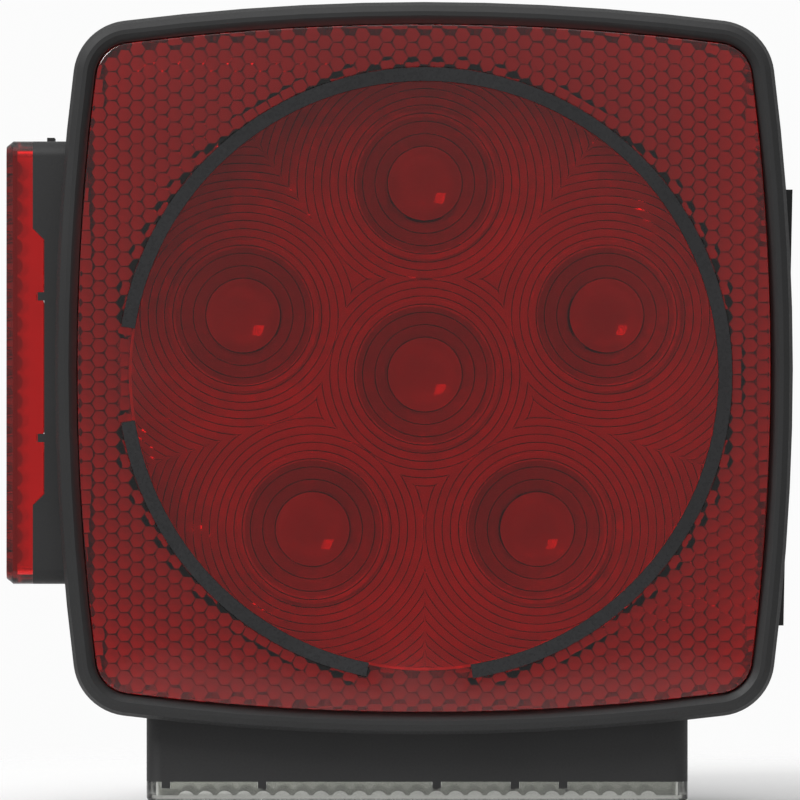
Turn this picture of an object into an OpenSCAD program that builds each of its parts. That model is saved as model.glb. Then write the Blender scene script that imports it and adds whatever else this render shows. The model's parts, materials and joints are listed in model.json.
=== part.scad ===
// Combination tail light for a trailer. A black moulded housing with a square, bulged
// bezel carries a red lens with six lamp optics inside a black ring, a red side marker
// on its left, a clear licence lamp underneath, and two mounting studs behind.
//
// The lens faces -Y, the studs point along +Y and +Z is up. The origin lies midway
// between the studs, on the face of the mounting pad.

/* [Bezel and body] */
// Width of the bezel across the middle of its bulged sides
bezel_w = 121.9; // [119:0.1:124]
// Height of the bezel across the middle of its bulged sides
bezel_h = 121; // [119:0.1:123]
// Depth from the mounting pad to the crest of the bezel
body_d = 50; // [48:0.5:60]
// How far each side of the bezel bulges
side_bulge = 4.7; // [3.5:0.1:5.5]
// Radius of the bezel's corners
corner_r = 9.5; // [8:0.5:11]
// Width of the black rim around the lens
rim_w = 3.6; // [3.4:0.1:4.2]
// Depth of the lip behind the bezel
lip_d = 12; // [9:0.5:16]
// Wall thickness of the moulding
wall = 2.2; // [1.8:0.1:2.4]

/* [Lens] */
// Outer diameter of the black ring in the lens
ring_od = 101.4; // [99:0.1:102]
// Width of the black ring
ring_w = 2.3; // [1.8:0.1:3]
// Height of the lens crown above the bezel's crest
crown_rise = 1.6; // [0.5:0.1:3]
// Thickness of the lens at its middle
lens_t = 3; // [2.5:0.1:3.5]
// Distance between neighbouring Fresnel steps
fresnel_pitch = 1.35; // [1.2:0.05:2]
// Height of one Fresnel step
fresnel_step = 0.55; // [0.3:0.05:0.8]

/* [Lamp optics] */
// Radius of the circle that the five outer optics lie on
optic_circle_r = 31.5; // [30:0.1:33]
// Radius of one reflector cup at its mouth
cup_r = 10.2; // [9:0.1:11]
// Depth of one reflector cup
cup_d = 14; // [10:0.5:16]

/* [Side marker] */
// Length of the marker, measured upwards
marker_l = 73.5; // [60:0.5:78]
// Width of the marker, from front to back
marker_w = 30; // [24:0.5:32]
// Distance from the lamp's middle to the face of the marker lens
marker_reach = 69.4; // [68:0.1:72]
// Height of the marker's middle above the lamp's middle
marker_up = 2; // [-2:0.5:4]

/* [Licence lamp] */
// Length of the licence lamp, from side to side
licence_l = 90; // [70:0.5:96]
// Width of the licence lamp, from front to back
licence_w = 28; // [24:0.5:32]
// Distance from the lamp's middle down to the face of the licence lens
licence_reach = 71.5; // [70:0.1:74]

/* [Mounting] */
// Distance between the two studs
stud_spacing = 50.8; // [50.8, 63.5]
// Radius of the studs
stud_r = 3.175; // [3.175, 3.97]
// Length of the studs behind the mounting pad
stud_l = 22.2; // [20:0.1:30]

/* [Hidden] */
$fn = 64;
eps = 0.01;

black_plastic = "#2c2b2c";
red_plastic = "#8f1a1f";
clear_plastic = "#d8dadb";
board_green = "#2f5a3a";
bright_metal = "#d9dadc";
zinc = "#b9bcbf";
rubber = "#1b1b1c";

// Bezel: the centre of its outline and the large radii of its bulged sides
bezel_x = -0.15;
bezel_z = 1.05;
side_arc_r = (pow(bezel_h / 2, 2) + pow(side_bulge, 2)) / (2 * side_bulge);
top_arc_r = (pow(bezel_w / 2, 2) + pow(side_bulge, 2)) / (2 * side_bulge);
side_steps = 10;
corner_steps = 12;
crest_in = 2;

// Tub: how far its outer wall lies inside the bezel's outline, in front and behind
tub_front_in = 4.5;
tub_back_in = 6.4;
tub_corner_r = 10;
tub_wall = 2.5;
back_wall = 2.6;
pad_h = 3;
floor_y = -pad_h - back_wall;
well_r = 49.7;
well_wall = 2.2;
well_below = 2.2;

// Lens: distances in front of the mounting pad
seat_f = body_d - 3.8;
sealant_t = 0.4;
lens_gap = 0.15;
lens_wall = 1.3;
lens_edge_in = rim_w + lens_gap;
lens_back_f = body_d + crown_rise - lens_t;
lens_reach = 78;
lens_edge_drop = 0.6;
ring_r = (ring_od - ring_w) / 2;
ring_proud = 0.25;
ring_d = 1.35;
left_gap = [171, 189];
bottom_gap = [259, 279];
bull_r = 6.1;
bull_rise = 1.4;
seam = 0.12;

// Inside, as distances in front of the mounting pad
potting_f = 10.5;
board_t = 1.6;
board_f = 14;
board_r = 49.3;
cup_mouth_f = board_f + 6 + cup_d;
cup_base_r = 4.2;
cup_wall = 1.2;
led_size = 7.6;
screw_at = 31.5;
optics = concat([[0, 0]], [for (i = [0 : 4]) optic_circle_r * [cos(90 + 72 * i), sin(90 + 72 * i)]]);

// Side marker and licence lamp
marker_y = -27;
marker_end_x = 65;
marker_floor_x = 56.5;
skirt_z = [-20.7, 23.3];
skirt_slant = 1.9;
nub_z = [13, -10.5];
nub_w = 1.4;
nub_d = 1.1;
tab_x = -62.5;
licence_x = -1.25;
licence_y = -26;
licence_rim_z = 67.6;
licence_floor_z = 56;
licence_nub_x = [-43, -27, 2, 15, 23];
port_r = 2.5;
flute_r = 1.5;
marker_led_z = [16, -12];
licence_led_x = [-25, 22.5];

// Blank port on the right
blank_z = [-41.6, 30.7];
blank_x = [59.5, 61];

// Fasteners
thread_r = 3.0;
shoulder_l = 3;
neck_r = stud_r - 0.3;
washer_y = 11.2;
washer_t = 1.6;
nut_y = 13;
nut_t = 5.6;
nut_af = 11.1;
seal_r = 5.5;
seal_d = 1.6;
wire_z = -22;
wire_r = 3.2;
grommet_r = 6.1;

// ---- Shared shapes ----

// Points on an arc, without its last one
function arc(c, r, a0, a1, n) =
    [for (i = [0 : n - 1]) let (a = a0 + (a1 - a0) * i / n) c + r * [cos(a), sin(a)]];

// The upper right crossing of two circles
function meet(c0, r0, c1, r1) =
    let (
        d = norm(c1 - c0),
        u = (c1 - c0) / d,
        along = (d * d + r0 * r0 - r1 * r1) / (2 * d)
    )
    c0 + along * u + sqrt(r0 * r0 - along * along) * [-u.y, u.x];

// The bezel's outline, moved inwards, with four bulged sides and round corners
function bezel_outline(inset, r) =
    let (
        side = side_arc_r - inset,
        top = top_arc_r - inset,
        side_c = [bezel_w / 2 - side_arc_r, 0],
        top_c = [0, bezel_h / 2 - top_arc_r],
        k = meet(side_c, side - r, top_c, top - r),
        a = atan2(k.y, k.x - side_c.x),
        b = atan2(k.y - top_c.y, k.x)
    )
    concat(
        arc(side_c, side, -a, a, side_steps),
        arc(k, r, a, b, corner_steps),
        arc(top_c, top, b, 180 - b, side_steps),
        arc([-k.x, k.y], r, 180 - b, 180 - a, corner_steps),
        arc(-side_c, side, 180 - a, 180 + a, side_steps),
        arc(-k, r, 180 + a, 180 + b, corner_steps),
        arc(-top_c, top, 180 + b, 360 - b, side_steps),
        arc([k.x, -k.y], r, 360 - b, 360 - a, corner_steps)
    );

module outline(inset) {
    translate([bezel_x, bezel_z]) polygon(bezel_outline(inset, corner_r - inset));
}

module tub_outline(inset) {
    translate([bezel_x, bezel_z]) polygon(bezel_outline(inset, tub_corner_r));
}

// A flat shape drawn across X and Z, from one distance in front of the pad to another
module plate(back, front) {
    translate([0, -back, 0]) rotate([90, 0, 0]) linear_extrude(front - back) children();
}

// A profile turned about an axis along Y: x is the radius and y the distance in front
module turned(at = [0, 0]) {
    translate([at.x, 0, at.y]) rotate([90, 0, 0]) rotate_extrude() children();
}

// A round bar along Y
module rod(at, back, front, r) {
    translate([at.x, -back, at.y]) rotate([90, 0, 0]) cylinder(h = front - back, r = r);
}

// A rectangle with exact round corners, centred
module round_rect(w, h, r) {
    square([w - 2 * r, h], center = true);
    square([w, h - 2 * r], center = true);
    for (x = [-1, 1], y = [-1, 1])
        translate([x * (w / 2 - r), y * (h / 2 - r)]) circle(r);
}

// The marker's outline pushed out along -X, from one distance to another
module marker_block(from, to, inset = 0) {
    translate([-to, marker_y, marker_up]) rotate([90, 0, 90]) linear_extrude(to - from)
        round_rect(marker_w - 2 * inset, marker_l - 2 * inset, port_r - min(inset, 1.5));
}

// The licence lamp's outline pushed down along -Z, from one distance to another
module licence_block(from, to, inset = 0) {
    translate([licence_x, licence_y, -to]) linear_extrude(to - from)
        round_rect(licence_l - 2 * inset, licence_w - 2 * inset, port_r - min(inset, 1.5));
}

// A board-mounted lamp chip with a clear dome, pointing along +Z
module led(body, body_h, dome_r) {
    translate([0, 0, body_h / 2]) cube([body, body, body_h], center = true);
    cylinder(h = body_h + dome_r * 0.7, r = dome_r);
    translate([0, 0, body_h + dome_r * 0.7]) sphere(dome_r);
}

// ---- Housing ----

// Bezel with a rounded crest, open behind so that it forms a lip
module bezel() {
    difference() {
        union() {
            plate(body_d - lip_d, body_d - 2.2) outline(0);
            hull() {
                plate(body_d - 2.2 - eps, body_d - 2.2) outline(0);
                plate(body_d - 0.8, body_d - 0.8 + eps) outline(0.6);
            }
            hull() {
                plate(body_d - 0.8, body_d - 0.8 + eps) outline(0.6);
                plate(body_d - eps, body_d) outline(crest_in - 0.4);
            }
        }
        plate(body_d - lip_d - 1, seat_f - 2.8) outline(wall);
        hull() {
            plate(body_d, body_d + eps) outline(crest_in + 0.3);
            plate(body_d - 1, body_d - 1 + eps) outline(rim_w);
        }
        plate(seat_f, body_d - 0.9) outline(rim_w);
    }
}

module tub_shape(back, front, inset) {
    hull() {
        plate(back, back + eps) tub_outline(tub_back_in + inset);
        plate(front - eps, front) tub_outline(tub_front_in + inset);
    }
}

// The mounting pad behind, a bar with a round end at each stud
module pad() {
    plate(0, pad_h + 1) {
        square([stud_spacing, 18], center = true);
        for (x = [-1, 1]) translate([x * stud_spacing / 2, 0]) circle(11);
    }
}

// Ribs on the back wall, from the pad to the tub's edge
module back_ribs() {
    for (x = [-34, 0, 34])
        translate([x - 1, -pad_h - 1, 8]) cube([2, 1 + pad_h * 0.6, 40]);
    for (x = [-34, 34])
        translate([x - 1, -pad_h - 1, -46]) cube([2, 1 + pad_h * 0.6, 38]);
}

// Distance from the bezel's middle to the middle of its lip, at a place along one side
function lip_at(half, r, along) = half - wall / 2 - r + sqrt(r * r - along * along);

// A gusset that ties the bezel's lip to the tub, drawn for the top and turned round
module gusset(reach) {
    translate([-0.8, 0, 0]) rotate([90, 0, 90]) linear_extrude(1.6)
        polygon([[-seat_f + 2, reach - 6], [-seat_f + 2, reach], [-body_d + lip_d + 1, reach],
                 [-body_d + lip_d + 8, reach - 3.6], [-body_d + lip_d + 8, reach - 6]]);
}

module gussets() {
    for (x = [-40 : 20 : 40])
        translate([bezel_x + x, 0, bezel_z]) gusset(lip_at(bezel_h / 2, top_arc_r, x));
    for (turn = [-90, 90], z = turn > 0 ? [38, 47] : [-48, 46])
        translate([bezel_x, 0, bezel_z + z]) rotate([0, turn, 0]) gusset(lip_at(bezel_w / 2, side_arc_r, z));
}

// Shape of the marker lens's skirt seen from the front, with slanted ends
module skirt_shape(inset) {
    half = skirt_slant / 2;
    translate([-marker_end_x, 0])
        polygon([[-1, skirt_z[0] - half - 1 + inset], [skirt_slant - inset, skirt_z[0] + half + inset],
                 [skirt_slant - inset, skirt_z[1] - half - inset], [-1, skirt_z[1] + half + 1 - inset]]);
}

// Square nubs that reach out of the side port's rim, to lock into the lens's skirt
module marker_nubs(extra) {
    for (z = nub_z)
        translate([-marker_end_x + skirt_slant - nub_d - extra, marker_y, z])
            translate([1, 0, 0]) cube([2 + 2 * extra, 2 * marker_w, nub_w + 2 * extra], center = true);
}

// The side port: its rim drops in the middle for the lens's skirt, between two nubs
module marker_port() {
    difference() {
        marker_block(50, marker_end_x);
        plate(0, 2 * marker_w) skirt_shape(0);
    }
    intersection() {
        marker_block(50, marker_end_x);
        marker_nubs(0);
    }
    // locating tab on top
    translate([tab_x - 0.6, marker_y - 3, marker_up + marker_l / 2 - eps]) cube([1.2, 6, 0.9]);
}

// The port underneath, with nubs along its rim that lock into the lens's edge
module licence_port() {
    licence_block(50, licence_rim_z);
    for (x = licence_nub_x)
        translate([x - nub_w / 2, licence_y - licence_w / 2, -licence_rim_z - nub_d])
            cube([nub_w, licence_w, nub_d + eps]);
}

module blank_port() {
    difference() {
        plate(12, 42) polygon([[50, blank_z[0]], [blank_x[0], blank_z[0]],
                               [blank_x[1], blank_z[1]], [50, blank_z[1]]]);
        plate(16, 38) polygon([[70, blank_z[0] + 4], [blank_x[0] - 0.8, blank_z[0] + 4],
                               [blank_x[1] - 0.8, blank_z[1] - 4], [70, blank_z[1] - 4]]);
    }
}

module ports_hollow() {
    marker_block(marker_floor_x, marker_end_x + 1, wall);
    licence_block(licence_floor_z, licence_reach, wall);
    // wire ways from the tub into the two ports
    translate([-marker_floor_x - 1, -30, -4]) cube([10, 8, 8]);
    translate([-5, -30, -licence_floor_z - 1]) cube([8, 8, 10]);
}

// The round light well inside the tub, with a gap at the left and at the bottom
module light_well() {
    difference() {
        turned() translate([well_r, -floor_y - eps]) square([well_wall, lens_back_f - well_below + floor_y]);
        for (gap = [left_gap, bottom_gap]) {
            middle = (gap[0] + gap[1]) / 2;
            rotate([0, -middle, 0])
                translate([well_r - 4, -body_d, -8.5]) cube([10, body_d - 20, 17]);
        }
    }
}

module board_posts() {
    for (x = [-1, 1], z = [-1, 1])
        difference() {
            rod(screw_at * [x, z], -floor_y - eps, board_f - board_t, 3.5);
            rod(screw_at * [x, z], 8, board_f, 1.1);
        }
}

module housing() {
    color(black_plastic) {
        difference() {
            union() {
                bezel();
                tub_shape(pad_h, seat_f - 1, 0);
                pad();
                back_ribs();
                gussets();
                marker_port();
                blank_port();
                licence_port();
            }
            tub_shape(-floor_y, body_d, tub_wall);
            rod([0, 0], -floor_y, body_d, well_r);
            ports_hollow();
            for (x = [-1, 1]) {
                rod([x * stud_spacing / 2, 0], -1, 8, stud_r + 0.1);
                rod([x * stud_spacing / 2, 0], -1, seal_d, seal_r);
            }
            rod([0, wire_z], -1, 8, grommet_r + 0.1);
        }
        light_well();
        board_posts();
    }
}

// ---- Lens ----

// Distance of the lens's front face in front of the pad
function lens_front_f(r) =
    body_d + crown_rise - (crown_rise + lens_edge_drop) * pow(r / lens_reach, 2);

module crown(back) {
    turned() polygon(concat(
        [[0, back]], [[lens_reach + 4, back]],
        [for (i = [8 : -1 : 0]) let (r = (lens_reach + 4) * i / 8) [r, lens_front_f(r)]]
    ));
}

// Back of one optic: a bull's eye, two wide steps and then fine steps as far as reach
module fresnel_optic(reach) {
    in_skin = lens_back_f + 0.3;
    fine_steps = ceil((reach - cup_r) / fresnel_pitch);
    edges = concat([bull_r, (bull_r + cup_r) / 2], [for (i = [0 : fine_steps]) cup_r + i * fresnel_pitch]);
    polygon(concat(
        [[0, in_skin]],
        [for (i = [0 : 6]) let (r = bull_r * i / 6) [r, lens_back_f - bull_rise * (1 - pow(i / 6, 2))]],
        [for (i = [0 : len(edges) - 2], high = [1, 0])
            [edges[i + 1 - high], lens_back_f - high * fresnel_step]],
        [[edges[len(edges) - 1], in_skin]]
    ));
}

// The middle optic's share of the lens, a pentagon halfway to its five neighbours
module middle_cell(grow) {
    rotate(54) circle(r = (optic_circle_r / 2 + grow) / cos(36), $fn = 5);
}

// An outer optic's share: a fifth of the disc, outside the pentagon
module outer_cell(turn) {
    difference() {
        intersection() {
            circle(ring_r - ring_w / 2 - 0.3, $fn = 96);
            rotate(turn) translate([seam / 2 / sin(36), 0])
                polygon([[0, 0], 80 * [cos(36), sin(36)], 80 * [cos(36), -sin(36)]]);
        }
        middle_cell(seam / 2);
    }
}

module fresnel_cells() {
    intersection() {
        turned() fresnel_optic(20);
        plate(lens_back_f - 3, lens_back_f + 1) middle_cell(-seam / 2);
    }
    for (i = [0 : 4])
        intersection() {
            turned(optics[i + 1]) fresnel_optic(30);
            plate(lens_back_f - 3, lens_back_f + 1) outer_cell(90 + 72 * i);
        }
}

module ring_arcs(inner, outer, from_f, to_f) {
    for (span = [[bottom_gap[1], left_gap[0] + 360], [left_gap[1], bottom_gap[0]]])
        rotate([90, 0, 0]) rotate([0, 0, span[0]])
            rotate_extrude(angle = span[1] - span[0], $fn = 128)
                translate([inner, from_f]) square([outer - inner, to_f - from_f]);
}

module main_lens() {
    ring_top = lens_front_f(ring_r) + ring_proud;
    color(red_plastic) {
        difference() {
            intersection() {
                plate(lens_back_f, body_d + 5) outline(lens_edge_in);
                crown(lens_back_f - 1);
            }
            ring_arcs(ring_r - ring_w / 2 - 0.05, ring_r + ring_w / 2 + 0.05, ring_top - ring_d, body_d + 5);
        }
        fresnel_cells();
        difference() {
            plate(seat_f + sealant_t, lens_back_f + 0.2) outline(lens_edge_in);
            plate(seat_f, lens_back_f + 1) outline(lens_edge_in + lens_wall);
        }
    }
}

module lens_ring() {
    ring_top = lens_front_f(ring_r) + ring_proud;
    color(black_plastic)
        ring_arcs(ring_r - ring_w / 2, ring_r + ring_w / 2, ring_top - ring_d, ring_top);
}

module lens_sealant() {
    color(rubber)
        difference() {
            plate(seat_f, seat_f + sealant_t) outline(lens_edge_in + 0.1);
            plate(seat_f - 1, seat_f + 1) outline(lens_edge_in + lens_wall - 0.1);
        }
}

// ---- Inside the lamp ----

// Radius of a parabolic cup at a fraction of its depth
function cup_at(t) = sqrt(pow(cup_base_r, 2) + (pow(cup_r, 2) - pow(cup_base_r, 2)) * t);

module cup_solid(extra, ends) {
    polygon(concat(
        [[0, cup_mouth_f - cup_d - ends]],
        [for (i = [0 : 8]) [cup_at(i / 8) + extra, cup_mouth_f - cup_d * (1 - i / 8) + (i == 0 ? -ends : 0)]],
        [[cup_r + extra, cup_mouth_f + ends], [0, cup_mouth_f + ends]]
    ));
}

// A bright plate with six parabolic cups, standing on the board by its skirt
module reflector() {
    color(bright_metal)
        difference() {
            union() {
                rod([0, 0], cup_mouth_f - 1.4, cup_mouth_f, board_r);
                turned() translate([board_r - 1.4, board_f]) square([1.4, cup_mouth_f - board_f]);
                for (at = optics) {
                    turned(at) cup_solid(cup_wall, 0);
                    rod(at, cup_mouth_f - 1, cup_mouth_f + 0.7, cup_r + cup_wall);
                }
            }
            for (at = optics) turned(at) cup_solid(0, 2);
            // wire ways through the skirt
            translate([-board_r - 1, -32, -5]) cube([4, 14, 10]);
            translate([-6, -32, -board_r - 1]) cube([10, 14, 4]);
        }
}

module main_circuit_board() {
    color(board_green)
        difference() {
            rod([0, 0], board_f - board_t, board_f, board_r);
            for (x = [-1, 1], z = [-1, 1]) rod(screw_at * [x, z], 0, 20, 1.7);
        }
}

module main_leds() {
    color("#e8e2d8")
        for (at = optics) translate([at.x, -board_f, at.y]) rotate([90, 0, 0]) led(led_size, 3.4, 2.9);
}

module board_resistors() {
    color("#1f2023")
        for (i = [0 : 5])
            rotate([0, -(54 + 60 * i), 0]) translate([41.5, -board_f - 0.6, 0]) cube([3.2, 1.2, 6.3], center = true);
}

module board_diodes() {
    color("#1f2023")
        for (x = [-6, 6])
            translate([x, -board_f - 1.1, -17]) cube([2.7, 2.2, 4.4], center = true);
}

module board_screws() {
    color(zinc)
        for (x = [-1, 1], z = [-1, 1]) {
            at = screw_at * [x, z];
            difference() {
                union() {
                    rod(at, board_f, board_f + 1.9, 2.8);
                    rod(at, 8.2, board_f + 1, 1.1);
                }
                for (turn = [0, 90])
                    translate([at.x, -board_f - 1.9, at.y]) rotate([0, turn, 0])
                        cube([3.2, 1.6, 0.7], center = true);
            }
        }
}

// Sealing compound poured over the back wall, round the posts and the stud heads
module potting() {
    color("#141415")
        difference() {
            rod([0, 0], -floor_y, potting_f, well_r - 0.1);
            for (x = [-1, 1], z = [-1, 1]) rod(screw_at * [x, z], 0, 20, 3.5);
            for (x = [-1, 1]) rod([x * stud_spacing / 2, 0], 0, -floor_y + 3.6, 6.5);
            rod([0, wire_z], 0, -floor_y + 1.8, 8.1);
        }
}

// Rubber grommet in the back wall, where the wires leave
module wire_grommet() {
    color(rubber)
        difference() {
            union() {
                rod([0, wire_z], -floor_y, -floor_y + 1.8, 8);
                rod([0, wire_z], pad_h - eps, -floor_y + eps, grommet_r);
                turned([0, wire_z]) polygon([[0, pad_h], [8.4, pad_h], [8.4, 2], [6.4, 0.8], [0, 0.8]]);
            }
            rod([0, wire_z], 0, 20, wire_r);
        }
}

// ---- Side marker ----

module marker_lens() {
    color(red_plastic)
        difference() {
            union() {
                hull() {
                    marker_block(marker_reach - 1.2, marker_reach - 1.1);
                    marker_block(marker_reach - eps, marker_reach, 0.9);
                }
                marker_block(marker_end_x, marker_reach - 1.1);
                intersection() {
                    marker_block(marker_end_x - skirt_slant, marker_end_x + 1);
                    plate(0, 2 * marker_w) skirt_shape(0.1);
                }
            }
            difference() {
                marker_block(marker_end_x - skirt_slant - 1, marker_reach - 1.8, 1.8);
                for (i = [-10 : 10])
                    translate([-marker_reach + 1.8 - flute_r * 0.4, marker_y, marker_up + 3.2 * i])
                        rotate([90, 0, 0]) cylinder(h = marker_w, r = flute_r, center = true);
            }
            marker_nubs(0.1);
        }
}

module marker_circuit_board() {
    color(board_green)
        translate([-marker_floor_x - board_t, marker_y - 11, marker_up - 32]) cube([board_t, 22, 64]);
}

module marker_leds() {
    color("#e8e2d8")
        for (z = marker_led_z)
            translate([-marker_floor_x - board_t, marker_y, z]) rotate([0, -90, 0]) led(5, 1.6, 1.8);
}

// A pair of short insulated wires from the main board through the wire way
module jumper_pair(reach) {
    for (side = [-1.2, 1.2])
        translate([side, 0, 0]) {
            rod([0, -45], board_f, 26, 0.8);
            translate([0, -26, -45]) sphere(0.8);
            translate([0, -26, -reach]) cylinder(h = reach - 45, r = 0.8);
        }
}

module marker_jumper_leads() {
    color("#7a1d1d") rotate([0, 90, 0]) jumper_pair(marker_floor_x);
}

// ---- Licence lamp ----

module licence_lens() {
    color(clear_plastic)
        difference() {
            union() {
                hull() {
                    licence_block(licence_reach - 1.2, licence_reach - 1.1);
                    licence_block(licence_reach - eps, licence_reach, 0.9);
                }
                licence_block(licence_rim_z, licence_reach - 1.1);
            }
            difference() {
                licence_block(licence_rim_z - 1, licence_reach - 1.6, 1.8);
                for (i = [-12 : 12])
                    translate([licence_x + 3.2 * i, licence_y, -licence_reach + 1.6 - flute_r * 0.5])
                        rotate([90, 0, 0]) cylinder(h = licence_w, r = flute_r, center = true);
            }
            for (x = licence_nub_x)
                translate([x - nub_w / 2 - 0.1, licence_y - licence_w, -licence_rim_z - nub_d - 0.1])
                    cube([nub_w + 0.2, 2 * licence_w, 2]);
        }
}

module licence_circuit_board() {
    color(board_green)
        translate([licence_x - 38, licence_y - 10, -licence_floor_z - board_t]) cube([76, 20, board_t]);
}

module licence_leds() {
    color("#efe9c8")
        for (x = licence_led_x)
            translate([x, licence_y, -licence_floor_z - board_t]) rotate([180, 0, 0]) led(5, 1.6, 1.8);
}

module licence_jumper_leads() {
    color("#dcdcdc") translate([-1, 0, 0]) jumper_pair(licence_floor_z);
}

// ---- Fasteners ----

// A hexagon-headed stud held in the back wall by its neck, plain at the pad and then threaded
module stud(x) {
    at = [x, 0];
    color(zinc) {
        translate([x, floor_y, 0]) rotate([90, 0, 0]) cylinder(h = 3.6, r = 6.35, $fn = 6);
        rod(at, -eps, -floor_y + 1, neck_r);
        rod(at, -shoulder_l, 0, stud_r);
        rod(at, -stud_l + 0.6, -shoulder_l + eps, thread_r);
        turned(at) polygon([[0, -stud_l], [thread_r - 0.6, -stud_l], [thread_r, -stud_l + 0.6 + eps],
                            [0, -stud_l + 0.6 + eps]]);
    }
}

module stud_left() {
    stud(-stud_spacing / 2);
}

module stud_right() {
    stud(stud_spacing / 2);
}

module stud_seals() {
    color(rubber)
        for (x = [-1, 1])
            turned([x * stud_spacing / 2, 0]) translate([stud_r + 1.05, seal_d / 2]) circle(seal_d / 2);
}

// A split spring washer
module lock_washer(x) {
    color(zinc)
        difference() {
            rod([x, 0], -washer_y - washer_t, -washer_y, 6.2);
            rod([x, 0], -washer_y - 5, -washer_y + 5, thread_r + 0.35);
            translate([x, washer_y + washer_t / 2, 5]) rotate([0, 0, 25]) cube([0.9, 4, 6], center = true);
        }
}

module lock_washer_left() {
    lock_washer(-stud_spacing / 2);
}

module lock_washer_right() {
    lock_washer(stud_spacing / 2);
}

// A hexagon nut with both faces chamfered
module nut(x) {
    corner = nut_af / 2 / cos(30);
    color(zinc)
        difference() {
            intersection() {
                translate([x, nut_y + nut_t, 0]) rotate([90, 0, 0]) cylinder(h = nut_t, r = corner, $fn = 6);
                turned([x, 0]) polygon([
                    [0, -nut_y - nut_t], [nut_af / 2 - 0.2, -nut_y - nut_t], [corner, -nut_y - nut_t + 0.6],
                    [corner, -nut_y - 0.6], [nut_af / 2 - 0.2, -nut_y], [0, -nut_y]
                ]);
            }
            rod([x, 0], -nut_y - nut_t - 1, -nut_y + 1, thread_r + 0.05);
        }
}

module nut_left() {
    nut(-stud_spacing / 2);
}

module nut_right() {
    nut(stud_spacing / 2);
}

housing();
main_lens();
lens_ring();
lens_sealant();
reflector();
main_circuit_board();
main_leds();
board_resistors();
board_diodes();
board_screws();
potting();
wire_grommet();
marker_lens();
marker_circuit_board();
marker_leds();
marker_jumper_leads();
licence_lens();
licence_circuit_board();
licence_leds();
licence_jumper_leads();
stud_left();
stud_right();
stud_seals();
lock_washer_left();
lock_washer_right();
nut_left();
nut_right();
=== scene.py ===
"""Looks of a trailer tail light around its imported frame: lenses, reflex pins, finishes, studio."""
import json
import math

import bmesh
import bpy
import numpy as np
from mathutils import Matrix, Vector
from mathutils.geometry import delaunay_2d_cdt


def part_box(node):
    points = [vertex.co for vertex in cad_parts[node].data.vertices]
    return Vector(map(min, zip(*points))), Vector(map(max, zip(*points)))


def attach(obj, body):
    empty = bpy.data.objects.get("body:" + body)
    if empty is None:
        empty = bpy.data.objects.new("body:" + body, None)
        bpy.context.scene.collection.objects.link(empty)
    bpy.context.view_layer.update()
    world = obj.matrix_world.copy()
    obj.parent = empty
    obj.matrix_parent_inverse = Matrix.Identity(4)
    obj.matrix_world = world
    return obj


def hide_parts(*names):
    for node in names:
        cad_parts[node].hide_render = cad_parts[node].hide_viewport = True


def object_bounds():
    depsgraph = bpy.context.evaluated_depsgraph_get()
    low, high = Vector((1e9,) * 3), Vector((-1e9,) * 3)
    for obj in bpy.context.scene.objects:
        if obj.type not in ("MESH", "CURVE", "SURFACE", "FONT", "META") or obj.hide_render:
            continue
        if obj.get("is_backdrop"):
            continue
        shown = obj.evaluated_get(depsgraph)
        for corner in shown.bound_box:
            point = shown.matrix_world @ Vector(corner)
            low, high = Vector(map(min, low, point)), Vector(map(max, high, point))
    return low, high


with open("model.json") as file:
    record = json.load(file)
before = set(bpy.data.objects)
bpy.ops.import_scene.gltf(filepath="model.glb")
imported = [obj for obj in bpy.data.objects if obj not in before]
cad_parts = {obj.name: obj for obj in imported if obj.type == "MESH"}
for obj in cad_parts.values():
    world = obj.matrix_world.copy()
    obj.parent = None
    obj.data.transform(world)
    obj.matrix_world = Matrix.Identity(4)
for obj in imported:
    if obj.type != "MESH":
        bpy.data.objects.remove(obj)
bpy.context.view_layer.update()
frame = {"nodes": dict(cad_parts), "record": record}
MM = 0.001

# ---- Sizes in millimetres, some worked out from the frame ----

LENS_LOW, LENS_HIGH = (np.array(corner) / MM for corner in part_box("main_lens"))
RING_HIGH = np.array(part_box("lens_ring")[1]) / MM
LENS_MIDDLE = np.array([LENS_LOW[0] + LENS_HIGH[0], LENS_LOW[2] + LENS_HIGH[2]]) / 2
LENS_HALF = np.array([LENS_HIGH[0] - LENS_LOW[0], LENS_HIGH[2] - LENS_LOW[2]]) / 2
LENS_EDGE_IN = 3.75          # lens edge inside the bezel's outline
SIDE_BULGE = 4.7             # bulge of each side of the bezel
CORNER_R = 9.5               # corner radius of the bezel
BEZEL_HALF = LENS_HALF + LENS_EDGE_IN
RING_OUTER = RING_HIGH[0]
RING_WIDTH = 2.3
CROWN_FRONT = LENS_LOW[1]    # y of the lens crown's middle
CROWN_DROP = 2.2             # how far the crown falls back at CROWN_REACH
CROWN_REACH = 78.0
LENS_T = 3.0                 # thickness at the lens's middle
OPTIC_CIRCLE_R = 31.5
BULL_R, BULL_RISE = 6.1, 1.4
CUP_R = 10.2
FRESNEL_PITCH, FRESNEL_STEP, FRESNEL_DRAFT = 1.35, 0.17, 0.14
RAY_STEP = 2.4               # degrees between the rays of an optic's grid
GROOVE_PLAY = 0.05           # gap between the ring and each side of its groove
DISC_R = RING_OUTER - RING_WIDTH - GROOVE_PLAY
GROOVE_FLOOR = RING_HIGH[1] + 0.02
GAPS = ((171.0, 189.0), (259.0, 279.0))
PIN_PITCH = 2.38             # flat-to-flat size of one reflex pin
PIN_COLUMN = PIN_PITCH * math.sqrt(3) / 2
PIN_SCALE = 0.97             # depth of a pin as a share of a true cube corner's
PIN_MARGIN = 0.4             # plain rim outside the pins
PIN_INNER_R = RING_OUTER - 1.9
STEP_RUN = 0.04              # run of the small steep steps
RIM_DEPTH = 2.0              # how far the lens's rim reaches behind its back
EDGE_ROUND = 0.4             # rounding of the lens's front edge
HEAD_R, HEAD_H = 6.35, 3.6   # a stud's hexagon head
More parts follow.
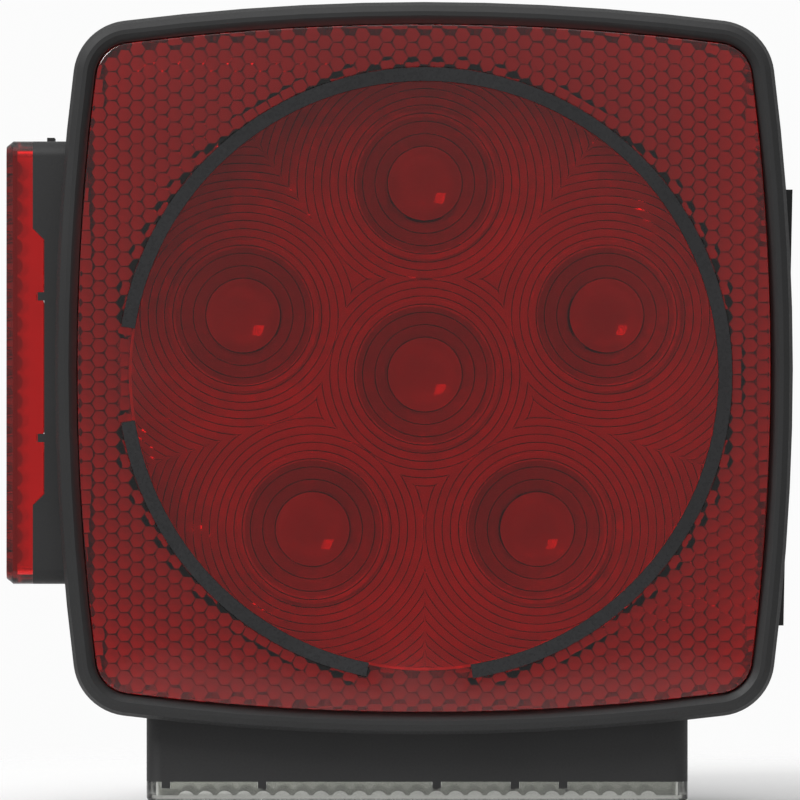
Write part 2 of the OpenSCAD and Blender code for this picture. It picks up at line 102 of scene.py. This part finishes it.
NECK_R, STUD_R, THREAD_R = 2.875, 3.175, 3.0
SHOULDER_L, CHAMFER = 3.0, 0.6
THREAD_PITCH, THREAD_DEPTH = 1.27, 0.5
STUD_TURN_STEPS = 72         # points round a stud
THREAD_ROWS = 8              # rows of points in one pitch of the thread
STUD_SHORT = 0.002           # keeps a snapped stud within its box
RING_STEPS = 240             # points round the inner edge of the pins
GROOVE_STEPS = 150           # points along one side of a groove
JOIN_DISTANCE = 1e-6         # metres
SNAP_STEPS = 1024            # places in a millimetre that points are moved onto
SEAM_ANGLE = 20              # degrees; a frame node is shaded smoothly below it

# ---- Numbers of the finishes and the studio ----

PLASTIC_IOR = 1.55
MOULD_GRAIN, METAL_GRAIN, PLASTIC_GRAIN = 2600, 900, 700
MOULD_CLOUD, LENS_CLOUD = 60, 90
ROOM_LOW, ROOM_HIGH = 0.42, 0.78
ROOM_FRONT = 0.78            # light straight in front, as a share of the rest
FLOOR_R, FLOOR_FADE, FLOOR_GAP = 0.3, (0.06, 0.25), 0.0003
VIEW_WIDTH = 131.8           # width of the view at the front of the lens
VIEW_MIDDLE = (-4.1, -4.2)


def bezel_outline(inset, steps=(24, 16)):
    """Closed outline with four bulged sides and round corners, moved inwards by inset.

    Each side is an arc through the side's middle; each corner is a circle that touches
    both neighbouring arcs from inside. Returns points in the lens plane (x, z).
    """
    radius = CORNER_R - inset
    side = (BEZEL_HALF[1] ** 2 + SIDE_BULGE ** 2) / (2 * SIDE_BULGE)
    top = (BEZEL_HALF[0] ** 2 + SIDE_BULGE ** 2) / (2 * SIDE_BULGE)
    side_c = np.array([BEZEL_HALF[0] - side, 0.0])
    top_c = np.array([0.0, BEZEL_HALF[1] - top])
    side_r, top_r = side - inset, top - inset
    apart = top_c - side_c
    d = np.hypot(*apart)
    u = apart / d
    along = (d * d + (side_r - radius) ** 2 - (top_r - radius) ** 2) / (2 * d)
    off = math.sqrt((side_r - radius) ** 2 - along ** 2)
    k = side_c + along * u + off * np.array([-u[1], u[0]])
    a = math.atan2(k[1], k[0] - side_c[0])
    b = math.atan2(k[1] - top_c[1], k[0])

    def arc(centre, r, start, end, count):
        t = start + (end - start) * np.arange(count) / count
        return np.array(centre) + r * np.column_stack([np.cos(t), np.sin(t)])

    quarter = np.vstack([
        arc(side_c, side_r, 0, a, steps[0] // 2),
        arc(k, radius, a, b, steps[1]),
        arc(top_c, top_r, b, math.pi / 2, steps[0] // 2),
    ])
    top_point = np.array([[0.0, BEZEL_HALF[1] - inset]])
    left = np.vstack([top_point, quarter[:0:-1]]) * [-1, 1]
    upper = np.vstack([quarter, left])
    return np.vstack([upper, -upper]) + LENS_MIDDLE


def crown_y(xz):
    """Front face of the lens: a shallow bowl that falls back with the square of the radius."""
    return CROWN_FRONT + CROWN_DROP * (xz ** 2).sum(1) / CROWN_REACH ** 2


# ---- Mesh helpers ----

def make_piece(name, verts_mm, faces, material, sharp):
    """An object at the origin from points in millimetres, smooth up to an edge angle."""
    mesh = bpy.data.meshes.new(name)
    mesh.from_pydata((np.asarray(verts_mm) * MM).tolist(), [], [list(f) for f in faces])
    mesh.polygons.foreach_set("use_smooth", np.ones(len(mesh.polygons), bool))
    mesh.set_sharp_from_angle(angle=math.radians(sharp))
    mesh.materials.append(material)
    mesh.update()
    obj = bpy.data.objects.new(name, mesh)
    bpy.context.scene.collection.objects.link(obj)
    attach(obj, "lamp")
    return obj


def grid_faces(rows, cols):
    """Quads of a grid whose points are stored row by row, each row closed into a ring."""
    r, c = np.meshgrid(np.arange(rows - 1), np.arange(cols), indexing="ij")
    r, c = r.ravel(), c.ravel()
    n = (c + 1) % cols
    return np.column_stack([r * cols + c, r * cols + n, (r + 1) * cols + n, (r + 1) * cols + c])


def snap(points):
    """Points moved onto a grid of 1/1024 mm, so that equal places compare equal."""
    return np.round(np.asarray(points) * SNAP_STEPS) / SNAP_STEPS


def weld(points, tris, axes=None):
    """Joins points at one place, judged by the first axes, and drops triangles that collapse."""
    points = snap(points)
    place = points[:, :axes]
    _, first, inverse = np.unique(place, axis=0, return_index=True, return_inverse=True)
    tris = inverse.reshape(-1)[tris]
    keep = (tris[:, 0] != tris[:, 1]) & (tris[:, 1] != tris[:, 2]) & (tris[:, 2] != tris[:, 0])
    return points[first], tris[keep]


def index_of(wanted, points):
    """Where each wanted point stands among the points, both snapped."""
    both = np.vstack([points, wanted])
    _, first, inverse = np.unique(both, axis=0, return_index=True, return_inverse=True)
    return first[inverse.reshape(-1)[len(points):]]


# ---- Finishes ----

def new_material(name):
    material = bpy.data.materials.new(name)
    material.use_nodes = True
    nodes, links = material.node_tree.nodes, material.node_tree.links
    return material, nodes, links, nodes["Principled BSDF"]


def add_noise_bump(nodes, links, shader, scale, strength, distance):
    """A fine grain in object space that tilts the surface's normal."""
    where = nodes.new("ShaderNodeTexCoord")
    noise = nodes.new("ShaderNodeTexNoise")
    noise.inputs["Scale"].default_value = scale
    noise.inputs["Detail"].default_value = 3.0
    bump = nodes.new("ShaderNodeBump")
    bump.inputs["Strength"].default_value = strength
    bump.inputs["Distance"].default_value = distance
    links.new(where.outputs["Object"], noise.inputs["Vector"])
    links.new(noise.outputs["Fac"], bump.inputs["Height"])
    links.new(bump.outputs["Normal"], shader.inputs["Normal"])
    return noise


def add_mottle(nodes, links, noise, shader, socket, low, high):
    """Spreads a number or a colour between two values by a noise."""
    ramp = nodes.new("ShaderNodeValToRGB")
    ramp.color_ramp.elements[0].position = 0.35
    ramp.color_ramp.elements[1].position = 0.65
    ramp.color_ramp.elements[0].color = (*low, 1)
    ramp.color_ramp.elements[1].color = (*high, 1)
    links.new(noise.outputs["Fac"], ramp.inputs["Fac"])
    links.new(ramp.outputs["Color"], shader.inputs[socket])


def black_plastic(name, colour, roughness, grain):
    material, nodes, links, shader = new_material(name)
    noise = add_noise_bump(nodes, links, shader, MOULD_GRAIN, grain, 0.00004)
    cloud = nodes.new("ShaderNodeTexNoise")
    cloud.inputs["Scale"].default_value = MOULD_CLOUD
    links.new(nodes["Texture Coordinate"].outputs["Object"], cloud.inputs["Vector"])
    dark = tuple(c * 0.85 for c in colour)
    light = tuple(c * 1.15 for c in colour)
    add_mottle(nodes, links, cloud, shader, "Base Color", dark, light)
    smooth, dull = (roughness - 0.05,) * 3, (roughness + 0.08,) * 3
    add_mottle(nodes, links, noise, shader, "Roughness", smooth, dull)
    return material


def clear_plastic(name, colour, roughness, depth=None):
    """Transparent plastic; depth is the density and the colour of what its body soaks up."""
    material, nodes, links, shader = new_material(name)
    if depth:
        soak = nodes.new("ShaderNodeVolumeAbsorption")
        soak.inputs["Density"].default_value = depth[0]
        soak.inputs["Color"].default_value = (*depth[1], 1)
        links.new(soak.outputs["Volume"], nodes["Material Output"].inputs["Volume"])
    shader.inputs["Transmission Weight"].default_value = 1.0
    shader.inputs["Roughness"].default_value = roughness
    shader.inputs["IOR"].default_value = PLASTIC_IOR
    cloud = nodes.new("ShaderNodeTexNoise")
    where = nodes.new("ShaderNodeTexCoord")
    cloud.inputs["Scale"].default_value = LENS_CLOUD
    links.new(where.outputs["Object"], cloud.inputs["Vector"])
    dark = tuple(c * 0.93 for c in colour)
    add_mottle(nodes, links, cloud, shader, "Base Color", dark, colour)
    return material


def metal(name, colour, roughness):
    material, nodes, links, shader = new_material(name)
    shader.inputs["Metallic"].default_value = 1.0
    noise = add_noise_bump(nodes, links, shader, METAL_GRAIN, 0.15, 0.00002)
    add_mottle(nodes, links, noise, shader, "Base Color", tuple(c * 0.9 for c in colour), colour)
    smooth, dull = (roughness * 0.7,) * 3, (roughness * 1.4,) * 3
    add_mottle(nodes, links, noise, shader, "Roughness", smooth, dull)
    return material


def solid_plastic(name, colour, roughness):
    material, nodes, links, shader = new_material(name)
    noise = add_noise_bump(nodes, links, shader, PLASTIC_GRAIN, 0.2, 0.00003)
    add_mottle(nodes, links, noise, shader, "Base Color", tuple(c * 0.8 for c in colour), colour)
    shader.inputs["Roughness"].default_value = roughness
    return material


SLOT_OF = {row["node"]: row["material_slot"] for row in frame["record"]["subparts"]}

FINISH = {
    "black_housing": black_plastic("black_housing", (0.007, 0.007, 0.0074), 0.50, 0.3),
    "black_ring": black_plastic("black_ring", (0.010, 0.010, 0.011), 0.30, 0.15),
    "red_lens": clear_plastic(
        "red_lens", (0.97, 0.10, 0.11), 0.04, (950, (0.88, 0.10, 0.10))),
    "marker_red_lens": clear_plastic(
        "marker_red_lens", (0.97, 0.10, 0.11), 0.08, (800, (0.955, 0.05, 0.05))),
    "clear_lens": clear_plastic("clear_lens", (0.56, 0.57, 0.53), 0.10),
    "reflector_plating": metal("reflector_plating", (0.95, 0.95, 0.96), 0.72),
    "zinc_plated_steel": metal("zinc_plated_steel", (0.62, 0.64, 0.67), 0.28),
    # Red metal on the lens's hidden fill and side walls: a painted reflection that sends light back
    # where the clear lens would show dark shade.
    "welded_rim": metal("welded_rim", (0.97, 0.34, 0.32), 0.6),
    "sealant": solid_plastic("sealant", (0.02, 0.02, 0.02), 0.6),
    "circuit_board": solid_plastic("circuit_board", (0.03, 0.14, 0.05), 0.35),
    "led_resin": solid_plastic("led_resin", (0.93, 0.90, 0.80), 0.25),
    "board_parts": solid_plastic("board_parts", (0.02, 0.02, 0.022), 0.5),
    "potting_compound": solid_plastic("potting_compound", (0.012, 0.012, 0.012), 0.2),
    "grommet_rubber": solid_plastic("grommet_rubber", (0.018, 0.018, 0.018), 0.7),
    "red_wire": solid_plastic("red_wire", (0.40, 0.02, 0.02), 0.4),
    "white_wire": solid_plastic("white_wire", (0.75, 0.74, 0.72), 0.4),
}


def finish_frame_nodes():
    """Gives every node of the frame the finish of its material slot."""
    for name, obj in frame["nodes"].items():
        obj.data.materials.clear()
        obj.data.materials.append(FINISH[SLOT_OF[name]])


def smooth_copy(node, sharp):
    """A copy of a frame node with its points joined, shaded smoothly up to an edge angle."""
    source = frame["nodes"][node]
    mesh = source.data.copy()
    joined = bmesh.new()
    joined.from_mesh(mesh)
    bmesh.ops.remove_doubles(joined, verts=joined.verts, dist=JOIN_DISTANCE)
    joined.to_mesh(mesh)
    joined.free()
    for name in [layer.name for layer in mesh.attributes if layer.name == "custom_normal"]:
        mesh.attributes.remove(mesh.attributes[name])
    mesh.polygons.foreach_set("use_smooth", np.ones(len(mesh.polygons), bool))
    mesh.set_sharp_from_angle(angle=math.radians(sharp))
    piece = bpy.data.objects.new(node + "_moulding", mesh)
    bpy.context.scene.collection.objects.link(piece)
    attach(piece, "lamp")
    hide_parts(node)


# ---- Studs ----

def threaded_stud(node):
    """A stud turned as one surface: hexagon head, neck, plain shoulder, thread and end chamfer.

    Every row is a closed ring round the axis. In the thread the radius falls from the crest to
    the root and back once in each pitch, and the phase turns once round the axis, as a helix.
    """
    low, high = (np.array(corner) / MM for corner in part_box(node))
    middle, end = (low[0] + high[0]) / 2, high[1] - STUD_SHORT
    turn = 2 * np.pi * np.arange(STUD_TURN_STEPS) / STUD_TURN_STEPS
    hexagon = HEAD_R * math.cos(math.pi / 6) / np.cos(np.mod(turn, math.pi / 3) - math.pi / 6)
    along = np.arange(SHOULDER_L, end - CHAMFER, THREAD_PITCH / THREAD_ROWS)
    fade = np.clip(np.minimum(along - SHOULDER_L, end - along) / THREAD_PITCH, 0, 1)
    phase = np.mod(along[:, None] / THREAD_PITCH - turn[None] / (2 * np.pi), 1)
    depth = THREAD_DEPTH * np.clip(1.25 * (1 - np.abs(2 * phase - 1)) - 0.12, 0, 1) * fade[:, None]
    rows = [
        (low[1], 0 * turn), (low[1], hexagon),
        (low[1] + HEAD_H, hexagon), (low[1] + HEAD_H, NECK_R + 0 * turn),
        (0.0, NECK_R + 0 * turn), (0.0, STUD_R + 0 * turn),
        (SHOULDER_L - 0.3, STUD_R + 0 * turn),
    ]
    rows += [(y, THREAD_R - row) for y, row in zip(along, depth)]
    rows += [
        (end - CHAMFER, THREAD_R + 0 * turn),
        (end, THREAD_R - CHAMFER + 0 * turn), (end, 0 * turn),
    ]
    y = np.array([row[0] for row in rows])[:, None] + 0 * turn
    r = np.array([row[1] for row in rows])
    points = np.stack([middle + r * np.cos(turn), y, r * np.sin(turn)], axis=2).reshape(-1, 3)
    quads = grid_faces(len(rows), len(turn))
    points, tris = weld(points, np.vstack([quads[:, [0, 2, 1]], quads[:, [0, 3, 2]]]))
    piece = make_piece(node + "_threaded", points, tris, FINISH["zinc_plated_steel"], sharp=35)
    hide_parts(node)


# ---- Main lens ----

def circle_points(radius, count, first=0.0, last=360.0):
    """Points round the lamp's middle, in the lens plane, from one angle to another."""
    turn = np.radians(np.linspace(first, last, count, endpoint=last - first < 360))
    return radius * np.column_stack([np.cos(turn), np.sin(turn)])


def closed_loop(start, count):
    """Pairs of indices that join count points, from start on, into a ring."""
    return np.column_stack([start + np.arange(count), start + (np.arange(count) + 1) % count])


def triangulate(loops, points=None, edges=None):
    """Delaunay triangles over closed loops and extra points and edges, all of them kept."""
    starts = np.cumsum([0] + [len(loop) for loop in loops])
    every = np.vstack(loops + ([] if points is None else [points]))
    joined = [closed_loop(start, len(loop)) for start, loop in zip(starts, loops)]
    if edges is not None:
        joined.append(edges + starts[-1])
    flat, inverse = np.unique(snap(every), axis=0, return_inverse=True)
    pairs = np.unique(np.sort(inverse.reshape(-1)[np.vstack(joined)], axis=1), axis=0)
    pairs = pairs[pairs[:, 0] != pairs[:, 1]]
    corners = list(map(Vector, flat.tolist()))
    made = delaunay_2d_cdt(corners, pairs.tolist(), [], 0, 1e-5)
    flat, tris = weld(np.array([tuple(v) for v in made[0]]), np.array(made[2]))
    a, b, c = flat[tris[:, 0]], flat[tris[:, 1]], flat[tris[:, 2]]
    area = (b[:, 0] - a[:, 0]) * (c[:, 1] - a[:, 1]) - (b[:, 1] - a[:, 1]) * (c[:, 0] - a[:, 0])
    return flat, np.where(area[:, None] > 0, tris, tris[:, ::-1])


def inside_edges(points, a, b):
    """True for points enclosed by edges from a to b, by counting crossings to their right."""
    x, z = points[:, :1], points[:, 1:]
    spans = (a[None, :, 1] > z) != (b[None, :, 1] > z)
    slope = (b[:, 0] - a[:, 0]) / np.where(b[:, 1] == a[:, 1], 1e-12, b[:, 1] - a[:, 1])
    crossing = a[None, :, 0] + (z - a[None, :, 1]) * slope[None]
    return (spans & (crossing > x)).sum(1) % 2 == 1


def inside_outline(points, outline):
    """True for points inside a closed outline."""
    return inside_edges(points, outline, np.roll(outline, -1, axis=0))


def fresnel_rows():
    """Radii and heights of one optic's back: a bull's eye, then saw-tooth steps.

    Each step rises over its draft and then falls to nothing at the next edge.
    """
    bull = np.linspace(0, BULL_R, 9)
    edges = np.concatenate([[BULL_R, (BULL_R + CUP_R) / 2], np.arange(CUP_R, 31, FRESNEL_PITCH)])
    radii = np.concatenate([bull, np.column_stack([edges[:-1] + FRESNEL_DRAFT, edges[1:]]).ravel()])
    heights = np.concatenate([
        BULL_RISE * (1 - (bull / BULL_R) ** 2),
        np.tile([FRESNEL_STEP, 0.0], len(edges) - 1),
    ])
    return radii, heights


def fresnel_sheet():
    """Back of the round middle of the lens: six optics that share it by nearest centre.

    Each optic is a polar grid. A ray stops where a neighbour's centre gets nearer or at the
    disc's edge, and equal distances give equal heights there, so the steps meet in chevrons.
    """
    radii, heights = fresnel_rows()
    turns = np.radians(90 + 72 * np.arange(5))
    outer = OPTIC_CIRCLE_R * np.column_stack([np.cos(turns), np.sin(turns)])
    centres = np.vstack([[0.0, 0.0], outer])
    step = math.radians(RAY_STEP)
    count = round(360 / RAY_STEP)
    points, tris = [], []
    for number, centre in enumerate(centres):
        facing = turns[max(number, 1) - 1]
        angles = facing + step * np.arange(count)
        if number:
            wedge = DISC_R * np.array([math.cos(math.radians(36)), math.sin(math.radians(36))])
            corner = math.atan2(wedge[1], wedge[0] - OPTIC_CIRCLE_R)
            for exact in (corner, 2 * math.pi - corner):
                angles[int(round(exact / step)) % count] = facing + exact
        ray = np.column_stack([np.cos(angles), np.sin(angles)])
        along = ray @ centre
        reach = -along + np.sqrt(along ** 2 + DISC_R ** 2 - centre @ centre)
        for other in centres:
            apart = other - centre
            if apart @ apart:
                towards = ray @ apart
                halfway = (apart @ apart) / 2 / np.maximum(towards, 1e-9)
                limit = np.where(towards > 1e-9, halfway, np.inf)
                reach = np.minimum(reach, limit)
        r = np.minimum(radii[:, None], reach[None, :])
        xz = centre + r[..., None] * ray[None]
        quads = grid_faces(len(radii), len(angles)) + sum(len(p) for p in points)
        points.append(np.column_stack([xz.reshape(-1, 2), np.interp(r, radii, heights).ravel()]))
        tris.append(np.vstack([quads[:, [0, 1, 2]], quads[:, [0, 2, 3]]]))
    return weld(np.vstack(points), np.vstack(tris)[:, ::-1])


def pin_depth(xz):
    """Depth of the field of cube corners behind each pin's tip.

    A cube standing on its corner shows three faces. The depth is the largest of three planes
    through the tip, each as steep as a cube's face, measured from the nearest pin's middle.
    """
    column = np.round(xz[:, 0] / PIN_COLUMN)
    nearest, depth = np.full(len(xz), np.inf), np.zeros(len(xz))
    ways = np.radians([0, 120, 240])
    for dc in (-1, 0, 1):
        col = column + dc
        shift = np.where(np.mod(col, 2) == 0, 0.0, 0.5)
        row = np.round(xz[:, 1] / PIN_PITCH - shift)
        for dr in (-1, 0, 1):
            local = xz - np.column_stack([col * PIN_COLUMN, (row + dr + shift) * PIN_PITCH])
            falls = [local @ np.array([math.cos(a), math.sin(a)]) for a in ways]
            away = (local ** 2).sum(1)
            closer = away < nearest - 1e-7
            nearest = np.where(closer, away, nearest)
            depth = np.where(closer, np.max(falls, axis=0) * math.sqrt(2), depth)
    return depth * PIN_SCALE


def reflex_sheet():
    """Back of the square border: a field of hexagonal pins, each with three crossing creases."""
    rim = PIN_PITCH / math.sqrt(3)
    outer, inner = bezel_outline(LENS_EDGE_IN + PIN_MARGIN), circle_points(PIN_INNER_R, RING_STEPS)
    columns, rows = np.arange(-30, 31), np.arange(-27, 28)
    col, row = (g.ravel() for g in np.meshgrid(columns, rows, indexing="ij"))
    shift = np.where(col % 2, 0.5, 0.0)
    middle = np.column_stack([col * PIN_COLUMN, (row + shift) * PIN_PITCH])
    corners = np.radians(60 * np.arange(6))
    reach = np.abs(middle - LENS_MIDDLE) - LENS_HALF
    middle = middle[(reach.max(1) < 2) & (np.hypot(*middle.T) > PIN_INNER_R - 2)]
    hexes = middle[:, None, :] + rim * np.column_stack([np.cos(corners), np.sin(corners)])[None]
    count = len(middle)
    hex_id = count + np.arange(count * 6).reshape(-1, 6)
    rims = np.stack([hex_id, np.roll(hex_id, -1, axis=1)], axis=2).reshape(-1, 2)
    creases = np.column_stack([np.repeat(np.arange(count), 3), hex_id[:, 1::2].ravel()])
    places = np.vstack([middle, hexes.reshape(-1, 2)])
    flat, tris = triangulate([outer, inner], places, np.vstack([rims, creases]))
    mid = flat[tris].mean(1)
    tris = tris[inside_outline(mid, outer) & ~inside_outline(mid, inner)]
    used, inverse = np.unique(tris, return_inverse=True)
    flat, tris = flat[used], inverse.reshape(-1, 3)
    deepest = 2 * PIN_PITCH / math.sqrt(6) * PIN_SCALE
    return np.column_stack([flat, deepest - pin_depth(flat)]), tris


def open_edges(tris):
    """Edges that only one triangle uses, each in that triangle's own direction."""
    edges = np.vstack([tris[:, [0, 1]], tris[:, [1, 2]], tris[:, [2, 0]]])
    count = tris.max() + 1
    return edges[~np.isin(edges[:, 0] * count + edges[:, 1], edges[:, 1] * count + edges[:, 0])]


def back_sheet():
    """The whole back of the lens: optics, a plain band under the ring, pins and a plain rim.

    The band and the rim are filled in between the open edges of the optics and the pins.
    """
    disc, disc_tris = fresnel_sheet()
    pins, pin_tris = reflex_sheet()
    rim_outline = bezel_outline(LENS_EDGE_IN)
    step_outline = bezel_outline(LENS_EDGE_IN + PIN_MARGIN - STEP_RUN)
    step_circle = circle_points(PIN_INNER_R - STEP_RUN, RING_STEPS)
    points = np.vstack([disc[:, :2], pins[:, :2]])
    edges = np.vstack([open_edges(disc_tris), open_edges(pin_tris) + len(disc)])
    used, inverse = np.unique(edges, return_inverse=True)
    loops = [rim_outline, step_outline, step_circle]
    flat, tris = triangulate(loops, points[used], inverse.reshape(-1, 2))
    mid = flat[tris].mean(1)
    taken = inside_edges(mid, points[edges[:, 0]], points[edges[:, 1]])
    tris = tris[inside_outline(mid, rim_outline) & ~taken]
    outside = ~inside_outline(flat, bezel_outline(LENS_EDGE_IN + PIN_MARGIN - STEP_RUN / 2))
    filled = np.column_stack([flat, np.where(outside, RIM_DEPTH, 0.0)])
    sheets = [(disc, disc_tris), (pins, pin_tris), (filled, tris)]
    starts = np.cumsum([0] + [len(points) for points, _ in sheets])
    points = np.vstack([points for points, _ in sheets])
    parts = [weld(points, tris + start, 2) for (_, tris), start in zip(sheets, starts)]
    plain = np.concatenate([
        np.full(len(tris), number == 2) for number, (_, tris) in enumerate(parts)
    ])
    return parts[0][0], np.vstack([tris for _, tris in parts]), plain


def ring_groove(grow):
    """Outlines of the two arcs of the groove that the black ring lies in, grown a little."""
    spans = ((GAPS[1][1], GAPS[0][0] + 360), (GAPS[0][1], GAPS[1][0]))
    outlines = []
    for first, last in spans:
        turn = math.degrees(grow / RING_OUTER)
        ends = (first - turn, last + turn)
        outer = circle_points(RING_OUTER + GROOVE_PLAY + grow, GROOVE_STEPS, *ends)
        inner_r = RING_OUTER - RING_WIDTH - GROOVE_PLAY - grow
        inner = circle_points(inner_r, GROOVE_STEPS, *ends)
        outlines.append(np.vstack([outer, inner[::-1]]))
    return outlines


def front_sheet():
    """Front of the lens: a shallow crown with a rounded edge and the ring's groove sunk in it."""
    turn = np.radians(np.linspace(90, 0, 6))
    insets, drops = EDGE_ROUND * (1 - np.sin(turn)), EDGE_ROUND * (1 - np.cos(turn))
    edge_loops = [bezel_outline(LENS_EDGE_IN + inset) for inset in insets]
    groove, lips = ring_groove(0.0), ring_groove(STEP_RUN)
    circles = [circle_points(r, 96) for r in np.arange(6, RING_OUTER - RING_WIDTH - 1, 6)]
    flat, tris = triangulate(edge_loops + groove + lips + circles)
    mid = flat[tris].mean(1)
    tris = tris[inside_outline(mid, edge_loops[0])]
    y = crown_y(flat)
    for loop, drop in zip(edge_loops, drops):
        y[index_of(snap(loop), flat)] += drop
    sunk = np.zeros(len(flat), bool)
    for outline in ring_groove(STEP_RUN / 2):
        sunk |= inside_outline(flat, outline)
    return np.column_stack([flat, np.where(sunk, GROOVE_FLOOR, y)]), tris


def main_lens_moulding():
    """The red lens as one closed moulding: front sheet, back sheet and the wall between them."""
    front, front_tris = front_sheet()
    back, back_tris, plain = back_sheet()
    rim = open_edges(front_tris)
    behind = index_of(front[rim.ravel(), :2], back[:, :2]).reshape(-1, 2) + len(front)
    walls = np.column_stack([rim[:, 1], rim[:, 0], behind[:, 0], behind[:, 1]])
    verts = np.vstack([
        np.column_stack([front[:, 0], front[:, 2], front[:, 1]]),
        np.column_stack([back[:, 0], CROWN_FRONT + LENS_T + back[:, 2], back[:, 1]]),
    ])
    faces = front_tris.tolist() + (back_tris[:, ::-1] + len(front)).tolist() + walls.tolist()
    piece = make_piece("main_lens_moulding", verts, faces, FINISH["red_lens"], sharp=26)
    # The plain fill and the side walls take the red metal, a painted reflection in place of the
    # shade behind the lens.
    piece.data.materials.append(FINISH["welded_rim"])
    painted_sheen_faces = np.concatenate([np.zeros(len(front_tris), int), plain, np.ones(len(walls), int)])
    piece.data.polygons.foreach_set("material_index", painted_sheen_faces)
    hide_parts("main_lens")


# ---- Studio ----

def add_area_light(name, place, size, power):
    """A square soft box that faces the lamp."""
    light = bpy.data.lights.new(name, "AREA")
    light.size = size
    light.energy = power
    obj = bpy.data.objects.new(name, light)
    obj.location = place
    obj.rotation_euler = (-Vector(place)).to_track_quat("-Z", "Y").to_euler()
    bpy.context.scene.collection.objects.link(obj)


def studio_floor():
    """A small round pale floor just under the lamp that fades into the white room."""
    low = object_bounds()[0]
    turn = np.linspace(0, 2 * math.pi, 64, endpoint=False)
    ring = FLOOR_R * np.column_stack([np.cos(turn), np.sin(turn)])
    verts = np.column_stack([ring, np.full(len(turn), low.z - FLOOR_GAP)])
    mesh = bpy.data.meshes.new("studio_floor")
    mesh.from_pydata(verts.tolist(), [], [list(range(len(turn)))])
    pale, nodes, links, shader = new_material("studio_floor")
    shader.inputs["Base Color"].default_value = (0.85, 0.85, 0.85, 1)
    shader.inputs["Roughness"].default_value = 0.9
    where = nodes.new("ShaderNodeTexCoord")
    length = nodes.new("ShaderNodeVectorMath")
    length.operation = "LENGTH"
    fade = nodes.new("ShaderNodeMapRange")
    fade.interpolation_type = "SMOOTHSTEP"
    fade.inputs["From Min"].default_value = FLOOR_FADE[0]
    fade.inputs["From Max"].default_value = FLOOR_FADE[1]
    fade.inputs["To Min"].default_value = 1.0
    fade.inputs["To Max"].default_value = 0.0
    links.new(where.outputs["Object"], length.inputs[0])
    links.new(length.outputs["Value"], fade.inputs["Value"])
    links.new(fade.outputs["Result"], shader.inputs["Alpha"])
    mesh.materials.append(pale)
    floor = bpy.data.objects.new("studio_floor", mesh)
    bpy.context.scene.collection.objects.link(floor)
    floor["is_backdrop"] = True


def white_room():
    """Soft light, brighter from above and dimmer round the camera, before a white surround."""
    world = bpy.data.worlds.new("white_room")
    world.use_nodes = True
    nodes, links = world.node_tree.nodes, world.node_tree.links
    glow = nodes["Background"]
    where = nodes.new("ShaderNodeTexCoord")
    split = nodes.new("ShaderNodeSeparateXYZ")
    climb = nodes.new("ShaderNodeMapRange")
    climb.inputs["From Min"].default_value = -1.0
    ramp = nodes.new("ShaderNodeValToRGB")
    ramp.color_ramp.elements[0].position = 0.45
    ramp.color_ramp.elements[0].color = (ROOM_LOW, ROOM_LOW, ROOM_LOW, 1)
    ramp.color_ramp.elements[1].position = 0.85
    ramp.color_ramp.elements[1].color = (ROOM_HIGH, ROOM_HIGH, ROOM_HIGH, 1)
    surround = nodes.new("ShaderNodeBackground")
    surround.inputs["Color"].default_value = (0.97, 0.97, 0.97, 1)
    path = nodes.new("ShaderNodeLightPath")
    mix = nodes.new("ShaderNodeMixShader")
    links.new(where.outputs["Generated"], split.inputs[0])
    links.new(split.outputs["Z"], climb.inputs["Value"])
    links.new(climb.outputs["Result"], ramp.inputs["Fac"])
    shade = nodes.new("ShaderNodeMapRange")
    shade.interpolation_type = "SMOOTHSTEP"
    shade.inputs["From Min"].default_value = -1.0
    shade.inputs["From Max"].default_value = -0.990
    shade.inputs["To Min"].default_value = ROOM_FRONT
    shade.inputs["To Max"].default_value = 1.0
    dim = nodes.new("ShaderNodeVectorMath")
    dim.operation = "SCALE"
    links.new(split.outputs["Y"], shade.inputs["Value"])
    links.new(ramp.outputs["Color"], dim.inputs[0])
    links.new(shade.outputs["Result"], dim.inputs["Scale"])
    links.new(dim.outputs["Vector"], glow.inputs["Color"])
    links.new(path.outputs["Is Camera Ray"], mix.inputs["Fac"])
    links.new(glow.outputs["Background"], mix.inputs[1])
    links.new(surround.outputs["Background"], mix.inputs[2])
    links.new(mix.outputs["Shader"], nodes["World Output"].inputs["Surface"])
    bpy.context.scene.world = world


def camera():
    """A long lens straight in front of the lamp, a little below and left of its middle."""
    camera = bpy.data.objects.new("camera", bpy.data.cameras.new("camera"))
    bpy.context.scene.collection.objects.link(camera)
    camera.data.sensor_width = 36
    camera.data.lens = 400
    distance = VIEW_WIDTH * MM * camera.data.lens / camera.data.sensor_width
    camera.location = (VIEW_MIDDLE[0] * MM, CROWN_FRONT * MM - distance, VIEW_MIDDLE[1] * MM)
    camera.rotation_euler = (math.pi / 2, 0, 0)
    camera.data.clip_end = 20
    bpy.context.scene.camera = camera


def studio():
    camera()
    studio_floor()
    white_room()
    add_area_light("top_light", (-0.1, -0.35, 1.1), 1.2, 3)
    add_area_light("key_light", (-0.9, -1.1, 0.9), 0.7, 22)
    bpy.context.scene.view_settings.view_transform = "Standard"


finish_frame_nodes()
main_lens_moulding()
for node in ("housing", "marker_lens", "licence_lens"):
    smooth_copy(node, SEAM_ANGLE)
for node in ("stud_left", "stud_right"):
    threaded_stud(node)
studio()
